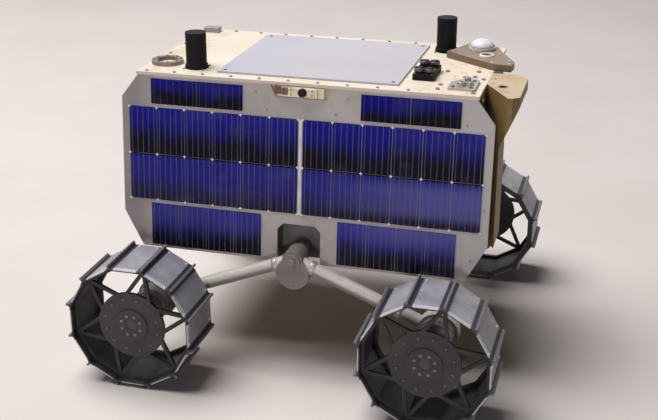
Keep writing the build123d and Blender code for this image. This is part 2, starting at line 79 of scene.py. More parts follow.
# Materials
class Net:
    """A node material whose patterns lie in the shared frame at rest, and move with the piece."""

    def __init__(self, name, color, rough, metallic=0.0, edge=0.0006, specular=None):
        self.mat = bpy.data.materials.new(name)
        self.mat.use_nodes = True
        self.tree = self.mat.node_tree
        self.tree.nodes.clear()
        self.bsdf = self.node("BsdfPrincipled")
        self.link(self.bsdf.outputs[0], self.node("OutputMaterial").inputs[0])
        self.value("Base Color", (*color, 1))
        self.value("Roughness", rough)
        self.value("Metallic", metallic)
        if specular is not None:
            self.value("Specular IOR Level", specular)
        self.color = (*color, 1)
        self.rough = None
        self.coord = self.node("TexCoord").outputs["Object"]
        self.normal = None
        if edge:
            bevel = self.node("Bevel")
            bevel.samples = 4
            bevel.inputs["Radius"].default_value = edge
            self.bevel = self.normal = bevel.outputs[0]

    def node(self, kind):
        return self.tree.nodes.new("ShaderNode" + kind)

    def link(self, source, socket):
        self.tree.links.new(source, socket)

    def value(self, socket_name, value):
        """Set a value that is the same all over the surface on the shader itself."""
        self.bsdf.inputs[socket_name].default_value = value

    def put(self, socket, value):
        if isinstance(value, bpy.types.NodeSocket):
            self.link(value, socket)
        elif isinstance(value, tuple) and len(value) == 3:
            socket.default_value = (*value, 1)
        else:
            socket.default_value = value

    def math(self, operation, a, b=0.0):
        n = self.node("Math")
        n.operation = operation
        self.put(n.inputs[0], a)
        self.put(n.inputs[1], b)
        return n.outputs[0]

    def times(self, first, *others):
        for other in others:
            first = self.math("MULTIPLY", first, other)
        return first

    def length(self, a, b):
        return self.math("SQRT", self.math("ADD", self.times(a, a), self.times(b, b)))

    def along(self, axis):
        """The point's coordinate along an axis."""
        n = self.node("SeparateXYZ")
        self.link(self.coord, n.inputs[0])
        return n.outputs[axis]

    def facing(self, axis):
        """The surface normal's component along an axis."""
        n = self.node("SeparateXYZ")
        self.link(self.node("NewGeometry").outputs["Normal"], n.inputs[0])
        return n.outputs[axis]

    def stretch(self, factors):
        n = self.node("VectorMath")
        n.operation = "MULTIPLY"
        self.link(self.coord, n.inputs[0])
        n.inputs[1].default_value = factors
        return n.outputs[0]

    def noise(self, scale, detail=4.0, rough=0.55, vector=None):
        n = self.node("TexNoise")
        n.inputs["Scale"].default_value = scale
        n.inputs["Detail"].default_value = detail
        n.inputs["Roughness"].default_value = rough
        self.link(vector or self.coord, n.inputs["Vector"])
        return n.outputs["Fac"]

    def cell_value(self, *numbers):
        """One value from 0 to 1 for each set of three whole numbers."""
        combine = self.node("CombineXYZ")
        for socket, number in zip(combine.inputs, numbers):
            self.put(socket, number)
        n = self.node("TexWhiteNoise")
        n.noise_dimensions = "3D"
        self.link(combine.outputs[0], n.inputs["Vector"])
        return n.outputs["Value"]

    def span(self, value, low, high, to_low=0.0, to_high=1.0):
        """Smooth step of a value from low to high."""
        n = self.node("MapRange")
        n.interpolation_type = "SMOOTHSTEP"
        self.put(n.inputs[0], value)
        for i, number in enumerate((low, high, to_low, to_high), 1):
            n.inputs[i].default_value = number
        return n.outputs[0]

    def blotches(self, scale, low, high, detail=5, rough=0.55):
        return self.span(self.noise(scale, detail, rough), low, high)

    def mix(self, share, a, b):
        n = self.node("Mix")
        n.data_type = "RGBA"
        self.put(n.inputs[0], share)
        self.put(n.inputs[6], a)
        self.put(n.inputs[7], b)
        return n.outputs[2]

    def tint(self, mask, color, share=1.0):
        if share < 1.0:
            mask = self.times(mask, share)
        self.color = self.mix(mask, self.color, color)

    def worn_and_highlit_edges(self):
        """Mask of the edges, where the rounded normal leaves the true one; it lightens edges for
        rubbed wear and a painted highlight.
        """
        dot = self.node("VectorMath")
        dot.operation = "DOT_PRODUCT"
        self.link(self.node("NewGeometry").outputs["Normal"], dot.inputs[0])
        self.link(self.bevel, dot.inputs[1])
        return self.span(self.math("SUBTRACT", 1.0, dot.outputs["Value"]), 0.02, 0.25)

    def bump(self, height, distance, strength):
        n = self.node("Bump")
        n.inputs["Strength"].default_value = strength
        n.inputs["Distance"].default_value = distance
        self.link(height, n.inputs["Height"])
        if self.normal is not None:
            self.link(self.normal, n.inputs["Normal"])
        self.normal = n.outputs[0]

    def uneven(self, pattern, spread, base):
        """Roughness: a base, and a share of a pattern."""
        self.rough = self.math("ADD", self.times(pattern, spread), base)

    def done(self):
        self.link(self.color, self.bsdf.inputs["Base Color"])
        self.link(self.normal, self.bsdf.inputs["Normal"])
        if self.rough is not None:
            self.link(self.rough, self.bsdf.inputs["Roughness"])
        return self.mat


def metal(name, color, other, rough, metallic, grain, edge_wear_and_highlight=0.5, specular=None):
    """Bare or plated metal: broad tone, brushed grain, small scuffs, and edges lightened by
    rubbed wear and a painted highlight.
    """
    m = Net(name, color, rough, metallic, specular=specular)
    m.tint(m.blotches(14, 0.35, 0.7), other)
    brushed = m.noise(1.0, 6, 0.6, m.stretch(grain))
    scuffs = m.noise(160, 8, 0.7)
    m.tint(m.span(scuffs, 0.56, 0.72), tuple(c * 0.62 for c in color), 0.35)
    # Edges lightened: rubbed wear and a painted highlight
    m.tint(m.worn_and_highlit_edges(), tuple(min(1.0, c * 1.35 + 0.06) for c in color), edge_wear_and_highlight)
    m.bump(brushed, 0.0003, 0.35)
    m.bump(scuffs, 0.0002, 0.4)
    m.uneven(scuffs, 0.28, rough - 0.12)
    return m


def painted(name, color, other, rough=0.5):
    m = Net(name, color, rough, edge=0.0005)
    m.tint(m.blotches(60, 0.38, 0.7), other)
    # Edges lightened: rubbed wear and a painted highlight
    m.tint(m.worn_and_highlit_edges(), tuple(min(1, c * 1.3 + 0.1) for c in color), 0.55)
    m.bump(m.noise(300), 0.0001, 0.3)
    m.uneven(m.noise(100), 0.25, rough - 0.12)
    return m.done()


def deck_gold():
    """Pale gold, warmer and mottled at the front, mottled at the rear, with painted shade making
    its sides browner.
    """
    m = metal("deck_gold", (0.76, 0.68, 0.57), (0.81, 0.735, 0.645),
              rough=0.58, metallic=0.05, grain=(30, 900, 30), specular=0.3)
    x = m.along(X)
    m.tint(m.span(x, 0.10, 0.20), (0.82, 0.69, 0.54), 0.60)
    m.tint(m.times(m.span(x, 0.12, 0.17), m.blotches(70, 0.52, 0.66, rough=0.6)),
           (0.50, 0.385, 0.25), 0.55)
    m.tint(m.times(m.span(x, -0.165, -0.185), m.blotches(40, 0.45, 0.62, rough=0.6)),
           (0.62, 0.50, 0.33), 0.6)
    # Painted shade: the sides darker and browner than the top
    m.tint(m.span(m.math("ABSOLUTE", m.facing(Z)), 0.75, 0.2), (0.66, 0.56, 0.49), 0.85)
    return m.done()


def plate_gold():
    """Brown gold of the end plates and the belly pan, darker low down."""
    m = metal("body_gold", (0.235, 0.152, 0.073), (0.30, 0.205, 0.104),
              rough=0.56, metallic=0.05, grain=(900, 30, 30), specular=0.2)
    m.tint(m.span(m.along(Z), 0.26, 0.14), (0.19, 0.120, 0.060), 0.35)
    m.tint(m.blotches(60, 0.52, 0.68, 7, 0.7), (0.215, 0.140, 0.062))
    return m.done()


def horn_gold():
    """Gold on the horn's top; painted shade makes its upright faces brown and its front face
    darkest.
    """
    m = metal("horn_gold", (0.53, 0.42, 0.275), (0.59, 0.475, 0.325),
              rough=0.50, metallic=0.05, grain=(30, 700, 30), specular=0.2)
    upright = m.span(m.facing(Z), 0.85, 0.25)
    m.tint(m.blotches(55, 0.5, 0.66, 6, 0.6), (0.40, 0.29, 0.155), 0.55)
    # Painted shade: upright faces turned dark brown
    m.tint(upright, (0.19, 0.122, 0.040), 0.94)
    m.tint(m.times(upright, m.blotches(48, 0.54, 0.68, rough=0.6)), (0.33, 0.235, 0.10), 0.45)
    # Painted shade: the front face darkest
    m.tint(m.span(m.facing(X), 0.55, 0.9), (0.13, 0.085, 0.045), 0.6)
    return m.done()


def housing_gold():
    """Brown gold, with painted shade darkening its sides."""
    m = metal("housing_gold", (0.205, 0.145, 0.095), (0.30, 0.225, 0.155),
              rough=0.48, metallic=0.1, grain=(30, 600, 30))
    # Painted shade on the sides
    m.tint(m.span(m.facing(Z), 0.85, 0.25), (0.135, 0.088, 0.055), 0.6)
    return m.done()


def shell_gold():
    """Gold body shell, grey inside the pivot pockets."""
    m = metal("shell_gold", (0.46, 0.34, 0.19), (0.56, 0.44, 0.27),
              rough=0.48, metallic=0.2, grain=(900, 30, 30))
    beside_pivot = m.span(m.math("ABSOLUTE", m.along(X)), 0.0300, 0.0292)
    pocket = m.times(beside_pivot, m.span(m.along(Z), 0.2022, 0.2014))
    m.tint(m.blotches(50, 0.54, 0.7, 7, 0.7), (0.36, 0.27, 0.16))
    m.tint(pocket, m.mix(m.blotches(45, 0.35, 0.7), (0.085, 0.077, 0.078), (0.13, 0.12, 0.12)))
    return m.done()


def arm_metal():
    """Bare tube, with painted shade darkening its underside."""
    m = metal("arm_metal", (0.52, 0.485, 0.46), (0.61, 0.57, 0.54),
              rough=0.5, metallic=0.15, grain=(30, 300, 300))
    # Painted shade: the underside darkened
    m.tint(m.span(m.facing(Z), 0.35, -0.35), (0.12, 0.108, 0.100), 0.80)
    m.tint(m.blotches(45, 0.52, 0.68, 6, 0.65), (0.30, 0.27, 0.25), 0.25)
    return m.done()


def hub_grey():
    """Rocker hub: darker plate below, and a paler boss at the top, a painted highlight."""
    m = metal("hub_grey", (0.175, 0.156, 0.152), (0.235, 0.212, 0.205),
              rough=0.5, metallic=0.25, grain=(60, 60, 60))
    # Painted highlight: the boss at the top made paler as if lit from above
    m.tint(m.span(m.along(Z), 0.1500, 0.1545), (0.21, 0.188, 0.170), 0.85)
    return m.done()


def drive_grey():
    """Drive housing and axle: grey, with a dark axle end inside the hub."""
    m = metal("drive_grey", (0.20, 0.185, 0.18), (0.30, 0.285, 0.26),
              rough=0.45, metallic=0.25, grain=(60, 400, 60))
    width = m.math("ABSOLUTE", m.along(Y))
    m.tint(m.span(width, 0.2500, 0.2510), (0.045, 0.040, 0.042), 0.92)
    return m.done()


def around_wheel(m):
    """Angle about the wheel's axle, mirrored for the rear wheels, and distance from it."""
    dx = m.math("SUBTRACT", m.math("ABSOLUTE", m.along(X)), WHEEL_X)
    dz = m.math("SUBTRACT", m.along(Z), WHEEL_Z)
    return m.math("ARCTAN2", dz, dx), m.length(dx, dz)


def tread_metal():
    """Scuffed plates with a pale outer lip, a painted shadow as a dark stripe at each fin, and
    painted shade darkening the inside.
    """
    m = metal("tread_metal", (0.29, 0.285, 0.33), (0.365, 0.36, 0.41),
              rough=0.5, metallic=0.2, grain=(40, 260, 40), edge_wear_and_highlight=0.8)
    turn, radius = around_wheel(m)
    # part runs from 0 at one fin to 1 at the next
    part = m.math("FRACT", m.math("ADD", m.times(turn, FINS / (2 * math.pi)), 0.5))
    near_fin = m.math("MINIMUM", part, m.math("SUBTRACT", 1.0, part))
    streaks = m.noise(1.0, 6, 0.7, m.stretch((60, 14, 60)))
    m.tint(m.span(streaks, 0.50, 0.66), (0.50, 0.49, 0.53), 0.30)
    m.tint(m.blotches(26, 0.44, 0.68, 6, 0.65), (0.175, 0.172, 0.205), 0.55)
    width = m.math("ABSOLUTE", m.along(Y))
    m.tint(m.span(width, 0.2560, 0.2600), (0.66, 0.645, 0.68), 0.75)
    # Painted shadow: a dark stripe beside each fin
    m.tint(m.span(near_fin, 0.155, 0.120), (0.016, 0.014, 0.020), 0.95)
    m.tint(m.span(radius, 0.0884, 0.0888), (0.10, 0.095, 0.11), 0.8)
    fin_side = m.times(m.span(near_fin, 0.050, 0.042), m.span(radius, 0.0850, 0.0862))
    m.tint(fin_side, (0.30, 0.29, 0.32), 0.5)
    off_middle = m.times(m.math("SUBTRACT", part, 0.5), 2 * math.pi / FINS)
    flat_distance = m.times(radius, m.math("COSINE", off_middle))
    # Painted shade: the inside of the tread made near black
    m.tint(m.span(flat_distance, 0.0802, 0.0798), (0.014, 0.012, 0.013), 0.95)
    return m.done()


def dark_web():
    """Dark disc with dusty patches, darker still on the spokes outside it."""
    m = metal("web_dark", (0.034, 0.029, 0.034), (0.050, 0.042, 0.046),
              rough=0.58, metallic=0.05, grain=(50, 50, 50), edge_wear_and_highlight=0.6, specular=0.35)
    radius = around_wheel(m)[1]
    m.tint(m.span(radius, 0.0445, 0.0470), (0.016, 0.014, 0.016), 0.75)
    m.tint(m.blotches(46, 0.50, 0.66, 7, 0.65), (0.075, 0.062, 0.056), 0.40)
    return m.done()


def panel_board():
    """Grey woven board: blotched and pale at its front wing, with painted shade darkening its
    rear wing.
    """
    m = Net("panel_board", (0.385, 0.350, 0.335), 0.6, edge=0.0005)
    threads = 2600
    m.tint(m.blotches(9, 0.38, 0.68), (0.475, 0.440, 0.425))
    m.tint(m.blotches(13, 0.48, 0.66, 4, 0.6), (0.375, 0.370, 0.310), 0.5)
    x = m.along(X)
    weave = m.times(m.math("SINE", m.times(x, threads)),
                    m.math("SINE", m.times(m.along(Z), threads)))
    m.tint(m.span(weave, -0.6, 0.9), (0.54, 0.52, 0.50), 0.10)
    m.tint(m.blotches(55, 0.50, 0.68, 8, 0.7), (0.27, 0.245, 0.235), 0.45)
    # Painted shade: the rear wing darkened
    m.tint(m.span(x, -0.190, -0.230), (0.19, 0.165, 0.175), 0.65)
    m.tint(m.span(x, 0.17, 0.215), (0.50, 0.48, 0.48), 0.6)
    # Edges lightened: rubbed wear and a painted highlight
    m.tint(m.worn_and_highlit_edges(), (0.72, 0.68, 0.60), 0.6)
    m.bump(weave, 0.00008, 0.5)
    m.bump(m.noise(120, 6, 0.6), 0.0002, 0.25)
    m.uneven(m.noise(70, 5), 0.25, 0.42)
    return m.done()


# Cell tones by row: top, foot, and the share of the height where one gives way to the other; the
# fall from the blue top to the dark foot is a painted reflection
CELL_TONES = (
    ((0.034, 0.031, 0.285), (0.003, 0.002, 0.006), (0.16, 0.78)),
    ((0.013, 0.011, 0.225), (0.014, 0.011, 0.030), (0.02, 0.66)),
    ((0.006, 0.006, 0.240), (0.002, 0.002, 0.005), (0.22, 0.84)),
    ((0.003, 0.002, 0.190), (0.002, 0.001, 0.004), (0.26, 0.84)),
)
CELL_INNER, CELL_PITCH, ROW_PITCH = 0.003, 0.0385, 0.0612
FINGERS_PER_METRE = 700


def solar_cell():
    """Deep blue cells, each a little different at its top, with a painted reflection that darkens
    them towards their feet and lays pale haze and patches on them.
    """
    m = Net("solar_cell", (0.02, 0.018, 0.16), 0.16, edge=0.0002, specular=0.06)
    x, z = m.along(X), m.along(Z)

    def rise(low, high):
        return m.span(z, height_at(low), height_at(high))

    inwards = m.math("SUBTRACT", m.math("ABSOLUTE", x), CELL_INNER)
    column = m.times(m.math("FLOOR", m.math("DIVIDE", inwards, CELL_PITCH)), m.math("SIGN", x))
    up = m.math("SUBTRACT", z, BOARD_LOW.z)
    row = m.math("FLOOR", m.math("DIVIDE", up, ROW_PITCH))
    apart = m.times(m.span(m.cell_value(column, row, 3.0), 0.2, 1.0), 0.35)
    wander = m.times(m.math("SUBTRACT", m.noise(22, 3), 0.5), 0.034)
    edge = m.math("ADD", z, wander)
    m.color = CELL_TONES[0][0]
    # Painted reflection: each row falls from its blue top to a dark foot
    for (low, height), (top, foot, (start, end)) in zip(ROWS, CELL_TONES):
        z0, z1 = height_at(low), height_at(low + height)
        upper = m.span(edge, z0 + (z1 - z0) * start, z0 + (z1 - z0) * end)
        tone = m.mix(upper, foot, m.mix(apart, top, (0.040, 0.036, 0.19)))
        m.tint(m.math("GREATER_THAN", z, z0 - 0.002), tone)
    # Dust haze and painted reflection: hazy pale blotches
    m.tint(m.blotches(16, 0.52, 0.70, 4, 0.6), (0.105, 0.100, 0.22), 0.22)
    # Painted reflection: pale patches across the middle and upper rows
    m.tint(m.times(m.span(x, -0.02, 0.20), rise(0.128, 0.110), rise(0.070, 0.085)),
           (0.150, 0.150, 0.44), 0.55)
    # Painted reflection: a pale patch on the low row
    in_low_row = m.math("LESS_THAN", z, height_at(0.063))
    m.tint(m.times(m.span(x, 0.04, 0.14), rise(0.028, 0.056), in_low_row),
           (0.150, 0.140, 0.42), 0.5)
    finger = m.math("FRACT", m.times(z, FINGERS_PER_METRE))
    m.tint(m.math("LESS_THAN", finger, 0.16), (0.16, 0.16, 0.28), 0.10)
    m.value("Coat Weight", 0.05)
    m.value("Coat Roughness", 0.08)
    m.bump(m.noise(35, 2), 0.0004, 0.15)
    m.uneven(m.noise(90), 0.10, 0.12)
    return m.done()


def busbar():
    """Tinned strips over the cells, dim in the high row."""
    m = metal("busbar", (0.125, 0.125, 0.235), (0.20, 0.20, 0.32),
              rough=0.45, metallic=0.1, grain=(300, 300, 300))
    m.tint(m.span(m.along(Z), height_at(0.1905), height_at(0.1935)), (0.020, 0.020, 0.095), 0.75)
    return m.done()


def white_plate():
    """Satin white, bluer towards the rear."""
    m = Net("white_plate", (0.50, 0.475, 0.525), 0.36, edge=0.0005)
    m.tint(m.blotches(7, 0.35, 0.68, 4), (0.45, 0.43, 0.50))
    m.tint(m.span(m.along(X), 0.02, -0.12), (0.475, 0.475, 0.60), 0.55)
    # Edges lightened: rubbed wear and a painted highlight
    m.tint(m.worn_and_highlit_edges(), (0.85, 0.83, 0.80), 0.5)
    m.bump(m.noise(9, 3), 0.0012, 0.10)
    m.bump(m.noise(300, 3), 0.00003, 0.1)
    m.uneven(m.noise(60, 5), 0.10, 0.26)
    return m.done()


def black_plastic():
    m = Net("black_plastic", (0.003, 0.0025, 0.003), 0.62, specular=0.16)
    m.tint(m.blotches(24, 0.42, 0.75), (0.0078, 0.0070, 0.0078))
    # Edges lightened: rubbed wear and a painted highlight
    m.tint(m.worn_and_highlit_edges(), (0.026, 0.025, 0.026), 0.45)
    m.bump(m.noise(260, 4, 0.6), 0.0002, 0.5)
    m.uneven(m.noise(80), 0.3, 0.48)
    return m.done()


def pale_dome():
    m = Net("pale_dome", (0.78, 0.78, 0.80), 0.35, edge=0.0004)
    m.tint(m.blotches(50, 0.4, 0.7), (0.68, 0.68, 0.71))
    # Edges lightened: rubbed wear and a painted highlight
    m.tint(m.worn_and_highlit_edges(), (0.80, 0.80, 0.80), 0.4)
    m.bump(m.noise(220), 0.0001, 0.3)
    m.uneven(m.noise(90), 0.2, 0.26)
    return m.done()


def lens_glass():
    m = Net("lens_glass", (0.005, 0.005, 0.008), 0.06, edge=0.0002, specular=0.2)
    m.tint(m.blotches(400, 0.4, 0.7, 3), (0.012, 0.009, 0.020))
    m.value("Coat Weight", 0.15)
    m.value("Coat Roughness", 0.05)
    m.uneven(m.noise(120, 3), 0.06, 0.04)
    return m.done()


LENS = lens_glass()
BLACK = black_plastic()
DOME = pale_dome()
ARM = arm_metal()
GREY = metal("grey_metal", (0.34, 0.32, 0.32), (0.42, 0.40, 0.39),
             rough=0.42, metallic=0.55, grain=(60, 400, 60)).done()
PLATE = plate_gold()
HUB = hub_grey()
DRIVE = drive_grey()
BUSBAR = busbar()
DECK_RING = metal("deck_ring_metal", (0.22, 0.165, 0.155), (0.36, 0.285, 0.26),
                  rough=0.45, metallic=0.3, grain=(200, 200, 200)).done()
RIM = metal("ring_metal", (0.42, 0.35, 0.33), (0.27, 0.225, 0.23),
            rough=0.40, metallic=0.4, grain=(200, 200, 200)).done()
HUB_BOLT = metal("hub_bolt", (0.20, 0.18, 0.18), (0.27, 0.245, 0.24),
                 rough=0.45, metallic=0.3, grain=(300, 300, 300)).done()
STEEL = metal("screw_steel", (0.60, 0.58, 0.55), (0.46, 0.44, 0.42),
              rough=0.32, metallic=0.8, grain=(300, 300, 300)).done()
DARK_STEEL = metal("screw_dark", (0.10, 0.09, 0.09), (0.16, 0.15, 0.14),
                   rough=0.4, metallic=0.6, grain=(300, 300, 300)).done()
DULL = painted("dull_screw", (0.33, 0.315, 0.30), (0.25, 0.24, 0.23))
TAB_WHITE = painted("tab_white", (0.72, 0.72, 0.76), (0.60, 0.60, 0.66), 0.4)
FILTER_RED = painted("filter_red", (0.105, 0.045, 0.035), (0.20, 0.10, 0.07), 0.45)

# The finish of each CAD node: by its own name, or else by its material slot
BY_SLOT = {
    "gold_metal": deck_gold(),
    "panel_board": panel_board(),
    "solar_cell": solar_cell(),
    "white_plate": white_plate(),
    "black_plastic": BLACK,
    "lens": LENS,
    "cream_metal": painted("cream_paint", (0.80, 0.72, 0.56), (0.68, 0.57, 0.40)),
    "grey_metal": GREY,
    "arm_metal": ARM,
    "tread_metal": tread_metal(),
    "dark_metal": dark_web(),
    "pale_dome": DOME,
}
BY_NODE = {
    "body_shell": shell_gold(),
    "belly_pan": PLATE,
    "sensor_housing": housing_gold(),
    "horn_bracket": horn_gold(),
    "deck_ring": DECK_RING,
}
for end in END_SIGN:
    BY_NODE[end + "_end_plate"] = PLATE
for side in SIDE_SIGN:
    BY_NODE[side + "_pivot"] = ARM
    BY_NODE[side + "_rocker_hub"] = HUB
    for end in END_SIGN:
        BY_NODE[side + "_" + end + "_drive"] = DRIVE
slot_of = {part["node"]: part["material_slot"] for part in frame["record"]["subparts"]}
for name, obj in frame["nodes"].items():
    obj.data.materials.clear()
    obj.data.materials.append(BY_NODE.get(name) or BY_SLOT[slot_of[name]])


# Trim: each piece is one mesh built from rounded blocks, turned forms and screw heads
SCREW_STEPS = 18


def around(count, radius, first=0.0):
    """Points evenly spaced on a circle; first is the first point's place, in steps."""
    for i in range(count):
        a = 2 * math.pi * (i + first) / count
        yield radius * math.cos(a), radius * math.sin(a)


def hexagon(i):
    """Factor that turns point i of a screw's circle into one of a hexagon."""
    turn = (2 * math.pi * i / SCREW_STEPS) % (math.pi / 3)
    return math.cos(math.pi / 6) / math.cos(turn - math.pi / 6)


def skin(part, rings):
    """Faces between neighbouring rings of points; a ring may be a single point at either end."""
    for a, b in zip(rings, rings[1:]):
        steps = max(len(a), len(b))
        for i in range(steps):
            j = (i + 1) % steps
            if len(a) == 1:
                part.faces.new((a[0], b[i], b[j]))
            elif len(b) == 1:
                part.faces.new((a[i], a[j], b[0]))
            else:
                part.faces.new((a[i], a[j], b[j], b[i]))


class Piece:
    def __init__(self, name, material, slot="grey_metal", body="chassis"):
        self.name, self.material, self.slot, self.body = name, material, slot, body
        self.mesh = bmesh.new()

    def add(self, make, matrix):
        part = bmesh.new()
        make(part)
        bmesh.ops.transform(part, matrix=matrix, verts=part.verts)
        scrap = bpy.data.meshes.new("scrap")
        part.to_mesh(scrap)
        part.free()
        self.mesh.from_mesh(scrap)
        bpy.data.meshes.remove(scrap)

    def box(self, matrix, size, bevel=0.0):
        def make(part):
            bmesh.ops.create_cube(part, size=1.0)
            bmesh.ops.scale(part, vec=size, verts=part.verts)
            if bevel:
                bmesh.ops.bevel(part, geom=part.edges, offset=bevel, segments=2, profile=0.5,
                                affect="EDGES")
        self.add(make, matrix)

    def lathe(self, matrix, profile, steps):
        """Turned form about local Z from (radius, height) points."""
        def make(part):
            rings = []
            for radius, height in profile:
                spots = around(steps, radius) if radius else ((0, 0),)
                rings.append([part.verts.new((x, y, height)) for x, y in spots])
            skin(part, rings)
        self.add(make, matrix)

    def screw(self, matrix, radius, height, socket=True):
        """Cap screw head standing on the local XY plane, with a hexagon socket or a plain top."""
        def make(part):
            chamfer = min(radius, height) * 0.22
            outline = ((radius, 0), (radius, height - chamfer), (radius - chamfer, height))
            rings = [[part.verts.new((x, y, z)) for x, y in around(SCREW_STEPS, r)]
                     for r, z in outline]
            if socket:
                for z in (height, height * 0.45):
                    spots = enumerate(around(SCREW_STEPS, radius * 0.5))
                    rings.append([part.verts.new((x * hexagon(i), y * hexagon(i), z))
                                  for i, (x, y) in spots])
            skin(part, rings)
            part.faces.new(rings[-1])
        self.add(make, matrix)

    def finish(self):
        bmesh.ops.recalc_face_normals(self.mesh, faces=self.mesh.faces)
        data = bpy.data.meshes.new(self.name)
        self.mesh.to_mesh(data)
        self.mesh.free()
        obj = bpy.data.objects.new(self.name, data)
        bpy.context.scene.collection.objects.link(obj)
        data.materials.append(self.material)
        for polygon in data.polygons:
            polygon.use_smooth = True
        data.set_sharp_from_angle(angle=math.radians(35))
        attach(obj, self.body)


def at(x, y, z, axis="z"):
    """Place with local Z along the named axis."""
    basis = {
        "z": Matrix.Identity(4),
        "y": Matrix.Rotation(-math.pi / 2, 4, "X"),
        "-y": Matrix.Rotation(math.pi / 2, 4, "X"),
        "x": Matrix.Rotation(math.pi / 2, 4, "Y"),
        "-x": Matrix.Rotation(-math.pi / 2, 4, "Y"),
    }[axis]
    return Matrix.Translation((x, y, z)) @ basis


def along_ray(x, y, z, angle):
    """Place with local Z along a ray in the XZ plane, at an angle above X."""
    turn = Matrix.Rotation(-angle, 4, "Y") @ Matrix.Rotation(math.pi / 2, 4, "Y")
    return Matrix.Translation((x, y, z)) @ turn


def on_side(side, x, up, out):
    """Place on a side panel: local X along the rover, local Y up the slope, local Z outward."""
    lean = Matrix.Rotation(math.pi / 2 - SLOPE, 4, "X")
    matrix = Matrix.Translation((x, BOARD_LOW.y, BOARD_LOW.z)) @ lean
    matrix = matrix @ Matrix.Translation((0, up, out))
    if side == "far":
        matrix = Matrix.Diagonal((1, -1, 1, 1)) @ matrix
    return matrix


# Side panels. Cells as in the part: inner end, outer end, count, row
CELL_TABLE = {
    "near": ((0.051, 0.205, 4, LOW_ROW), (0.003, 0.234, 6, MIDDLE_ROW),
             (0.003, 0.234, 6, UPPER_ROW), (0.077, 0.203, 2, HIGH_ROW)),
    "far": ((0.051, 0.179, 3, LOW_ROW), (0.003, 0.208, 5, MIDDLE_ROW),
            (0.003, 0.208, 5, UPPER_ROW), (0.051, 0.177, 2, HIGH_ROW)),
}
CELL_TOP = 0.001
BARS_PER_CELL, BARS_PER_HIGH_CELL = 5, 7
BAR_WIDTH, BAR_HEIGHT, BAR_END_GAP = 0.00045, 0.00024, 0.0008
TAB_WIDTH, TAB_HEIGHT = 0.0030, 0.0003
GAP_BETWEEN_ROWS = 0.0007
STRIP_WIDTH, STRIP_HEIGHT = 0.0040, 0.0008
PANEL_SCREW = (0.0017, 0.0007)
# Panel screws: distance in from the panel's end and up the slope, then the same from the middle
END_SCREWS = ((0.034, 0.200), (0.012, 0.165), (0.007, 0.095), (0.020, 0.028), (0.060, 0.222))
MIDDLE_SCREWS = ((0.045, 0.200), (0.060, 0.222))


def panel_trim(side):
    bars = Piece(side + "_busbars", BUSBAR)
    tabs = Piece(side + "_cell_tabs", TAB_WHITE, "white_plate")
    diamond = Matrix.Rotation(math.pi / 4, 4, "Z")
    for inner, outer, count, row in CELL_TABLE[side]:
        low, height = ROWS[row]
        width = (outer - inner) / count
        lines = BARS_PER_HIGH_CELL if row == HIGH_ROW else BARS_PER_CELL
        tab_heights = {MIDDLE_ROW: (low, low + height + GAP_BETWEEN_ROWS / 2),
                       UPPER_ROW: (low + height,)}
        for hand in (-1, 1):
            for i in range(count * lines):
                x = hand * (inner + width * (i + 0.5) / lines)
                bars.box(on_side(side, x, low + height / 2, CELL_TOP),
                         (BAR_WIDTH, height - 2 * BAR_END_GAP, BAR_HEIGHT))
            for column in range(count + 1):
                x = hand * (inner + width * column)
                for up in tab_heights.get(row, ()):
                    tabs.box(on_side(side, x, up, CELL_TOP) @ diamond,
                             (TAB_WIDTH, TAB_WIDTH, TAB_HEIGHT))
    low, high = ROWS[MIDDLE_ROW][0], sum(ROWS[UPPER_ROW])
    tabs.box(on_side(side, 0.0, (low + high) / 2, STRIP_HEIGHT / 2),
             (STRIP_WIDTH, high - low, STRIP_HEIGHT))
    bars.finish()
    tabs.finish()
    screws = Piece(side + "_panel_screws", DULL)
    end = Box(side + "_panel_board").high.x
    for x, up in [(end - inset, up) for inset, up in END_SCREWS] + list(MIDDLE_SCREWS):
        for hand in (-1, 1):
            screws.screw(on_side(side, hand * x, up, 0.0), *PANEL_SCREW, socket=False)
    screws.finish()


# Side cameras: bezel round the lens, red filter blocks beside it, screws
BEZEL = ((0.0046, 0.0), (0.0056, 0.0), (0.0056, 0.0020), (0.0053, 0.0026), (0.0047, 0.0026),
         (0.0046, 0.0))
# Filter blocks: x and up from the lens, distance out, size, bevel
FILTERS = ((-0.0235, 0.0, 0.0028, (0.0075, 0.0085, 0.0030), 0.0006),
           (-0.0330, 0.001, 0.0024, (0.0090, 0.0100, 0.0022), 0.0005))
CAMERA_FACE = 0.005
CAMERA_SCREW = (0.0012, 0.0008)
CAMERA_SCREWS_X, CAMERA_SCREWS_UP = (-0.015, 0.0125), (0.0028, -0.0028)


def camera_trim(side):
    lens = Box(side + "_camera_lens").mid
    up = (lens.z - BOARD_LOW.z) / math.cos(SLOPE)
    bezel = Piece(side + "_camera_bezel", BLACK, "black_plastic")
    bezel.lathe(on_side(side, lens.x, up, CAMERA_FACE), BEZEL, steps=32)
    bezel.finish()
    blocks = Piece(side + "_camera_filter", FILTER_RED, "cream_metal")
    for dx, rise, out, size, bevel in FILTERS:
        blocks.box(on_side(side, lens.x + dx, up + rise, out), size, bevel)
    blocks.finish()
    screws = Piece(side + "_camera_screws", DULL)
    for dx in CAMERA_SCREWS_X:
        for rise in CAMERA_SCREWS_UP:
            screws.screw(on_side(side, lens.x + dx, up + rise, CAMERA_FACE), *CAMERA_SCREW,
                         socket=False)
    screws.finish()


for side in SIDE_SIGN:
    panel_trim(side)
for side in SIDE_SIGN:
    camera_trim(side)

# Deck plate: screws along both long sides and across the rear, and larger ones at the front
LONG_ROW_SCREWS, LONG_ROW_END, EDGE_INSET = 12, 0.012, 0.0065
DECK_SCREW = (0.0023, 0.0012)
FRONT_SCREW = (0.0030, 0.0016)
